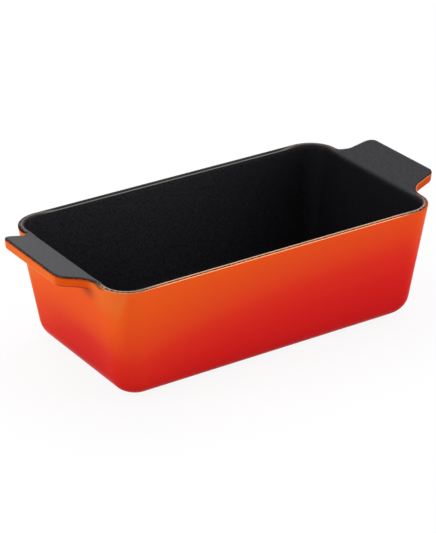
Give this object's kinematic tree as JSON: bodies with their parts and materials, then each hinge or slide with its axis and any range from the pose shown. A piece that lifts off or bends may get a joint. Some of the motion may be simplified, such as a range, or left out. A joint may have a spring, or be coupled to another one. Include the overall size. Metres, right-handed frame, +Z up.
{
  "type": "enamelled cast iron bread pan",
  "caption": "Rectangular loaf pan cast in iron, with drafted walls, rounded corners, a sloped tab handle at each end, a gloss orange to red enamel outside and a black enamel lining.",
  "frame": {"origin": "middle of the pan's underside, on the surface that it stands on", "axes": "+X along the pan from handle to handle, +Z up out of the opening"},
  "size_m": [0.2782, 0.1348, 0.0847],
  "materials": {
    "grey_cast_iron": "as cast",
    "dark_ground_enamel": "satin",
    "flame_gloss_enamel": "gloss",
    "black_satin_enamel": "satin"
  },
  "bodies": {
    "root": {"iron_casting": "grey_cast_iron", "outer_ground_coat": "dark_ground_enamel", "flame_colour_enamel": "flame_gloss_enamel", "black_lining_enamel": "black_satin_enamel"}
  },
  "joints": []
}
